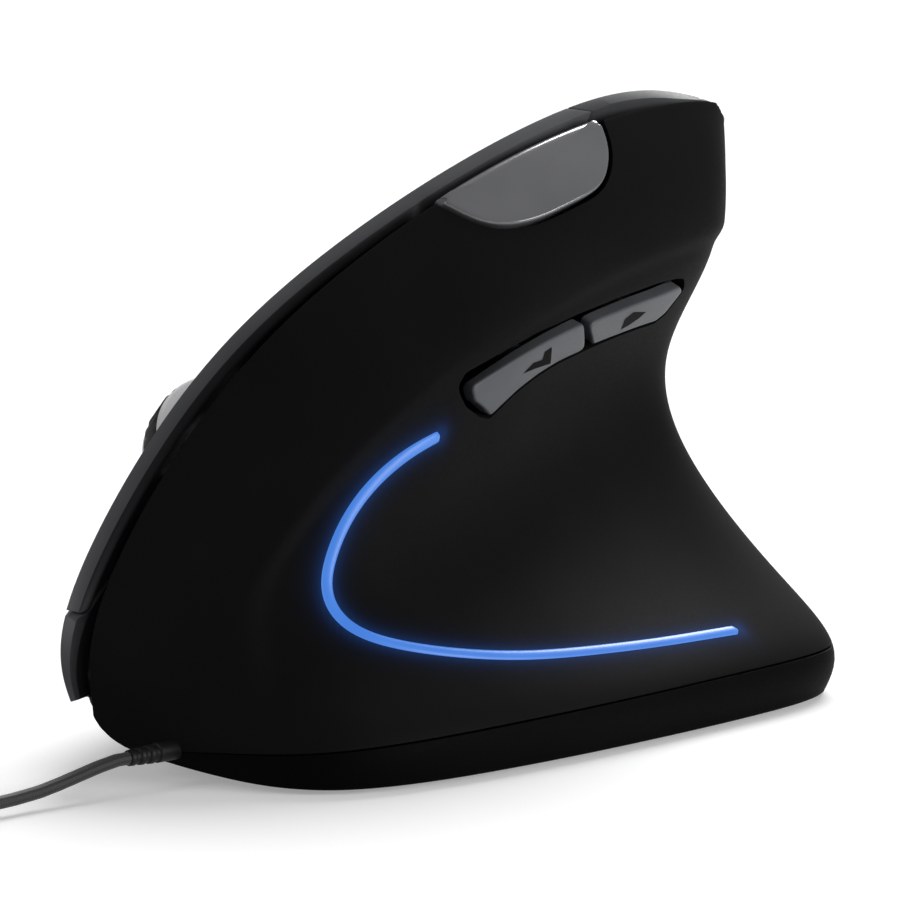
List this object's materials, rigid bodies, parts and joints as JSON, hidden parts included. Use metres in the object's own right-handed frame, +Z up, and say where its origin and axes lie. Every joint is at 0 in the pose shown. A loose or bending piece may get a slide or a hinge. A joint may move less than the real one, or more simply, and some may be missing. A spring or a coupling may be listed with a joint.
{
  "type": "vertical ergonomic mouse",
  "caption": "Vertical ergonomic mouse for the right hand: a tall fin with a thumb scoop, main buttons and wheel on the far side, thumb buttons, a blue light strip and a braided cord.",
  "frame": {"origin": "middle of the body's box on the desk, under the slide pads", "axes": "+X to the finger side (the user's right), +Y to the nose and the cord, +Z up from the desk"},
  "size_m": [0.075, 0.1679, 0.0783],
  "materials": {
    "soft_black": "soft-touch matte",
    "base_black": "fine texture",
    "panel_grey": "satin",
    "trim_black": "polished",
    "gloss_grey": "polished",
    "button_grey": "satin",
    "blue_light": "translucent, lit from behind",
    "board_green": "solder mask",
    "wheel_grey": "satin",
    "rubber_black": "moulded",
    "steel": "plain",
    "switch_black": "moulded",
    "stem_white": "moulded",
    "frame_grey": "moulded",
    "lens_clear": "clear moulded",
    "pad_dark": "slick",
    "braid_black": "braided"
  },
  "bodies": {
    "body": {"base_tray": "base_black", "thumb_shell": "soft_black", "palm_shell": "soft_black", "ridge_trim": "trim_black", "light_guide": "blue_light", "light_board": "board_green", "wheel_switch": "switch_black", "switch_board": "board_green", "left_switch": "switch_black", "right_switch": "switch_black", "switch_stand": "frame_grey", "inner_frame": "frame_grey", "thumb_board": "board_green", "thumb_switches": "switch_black", "dpi_board": "board_green", "dpi_switch": "switch_black", "main_board": "board_green", "sensor": "switch_black", "sensor_lens": "lens_clear", "case_screws": "steel", "board_screws": "steel", "slide_pads": "pad_dark", "strain_relief": "rubber_black", "inner_lead": "braid_black", "lead_socket": "stem_white", "cord": "braid_black", "cord_coil": "braid_black", "cord_tie": "rubber_black", "plug_body": "rubber_black", "plug_shell": "steel", "plug_tongue": "stem_white"},
    "left_button": {"left_button": "panel_grey", "left_plunger": "stem_white"},
    "right_button": {"right_button": "panel_grey", "right_plunger": "stem_white"},
    "dpi_button": {"dpi_button": "gloss_grey", "dpi_stem": "stem_white"},
    "forward_button": {"forward_button": "button_grey", "forward_stem": "stem_white"},
    "back_button": {"back_button": "button_grey", "back_stem": "stem_white"},
    "wheel_cradle": {"wheel_cradle": "base_black", "wheel_encoder": "switch_black", "wheel_stem": "stem_white"},
    "wheel": {"wheel_hub": "wheel_grey", "wheel_tyre": "rubber_black", "wheel_axle": "steel"}
  },
  "joints": [
    {"name": "left_click", "type": "hinge", "parent": "body", "child": "left_button", "pos_m": [-0.00069, -0.0195, 0.06599], "axis": [-0.7083, 0.0111, 0.7058], "range_deg": [0, 0.45], "stiffness_Nm_per_rad": 6, "springref_deg": -0.57},
    {"name": "right_click", "type": "hinge", "parent": "body", "child": "right_button", "pos_m": [0.01683, -0.01717, 0.04335], "axis": [-0.4821, -0.1077, 0.8695], "range_deg": [0, 0.45], "stiffness_Nm_per_rad": 6, "springref_deg": -0.57},
    {"name": "dpi_press", "type": "slide", "parent": "body", "child": "dpi_button", "axis": [0.778, -0.2769, -0.5639], "range_m": [0, 0.0005], "stiffness_N_per_m": 1200, "springref_m": -0.0003},
    {"name": "forward_press", "type": "slide", "parent": "body", "child": "forward_button", "axis": [0.8596, 0.175, 0.4801], "range_m": [0, 0.0005], "stiffness_N_per_m": 1200, "springref_m": -0.0003},
    {"name": "back_press", "type": "slide", "parent": "body", "child": "back_button", "axis": [0.8596, 0.175, 0.4801], "range_m": [0, 0.0005], "stiffness_N_per_m": 1200, "springref_m": -0.0003},
    {"name": "wheel_click", "type": "slide", "parent": "body", "child": "wheel_cradle", "axis": [-0.6357, -0.4745, -0.6089], "range_m": [0, 0.0005], "stiffness_N_per_m": 1200, "springref_m": -0.0003},
    {"name": "wheel_spin", "type": "hinge", "parent": "wheel_cradle", "child": "wheel", "pos_m": [0.00998, 0.02291, 0.03421], "axis": [0.742, -0.158, -0.6515], "continuous": true}
  ]
}
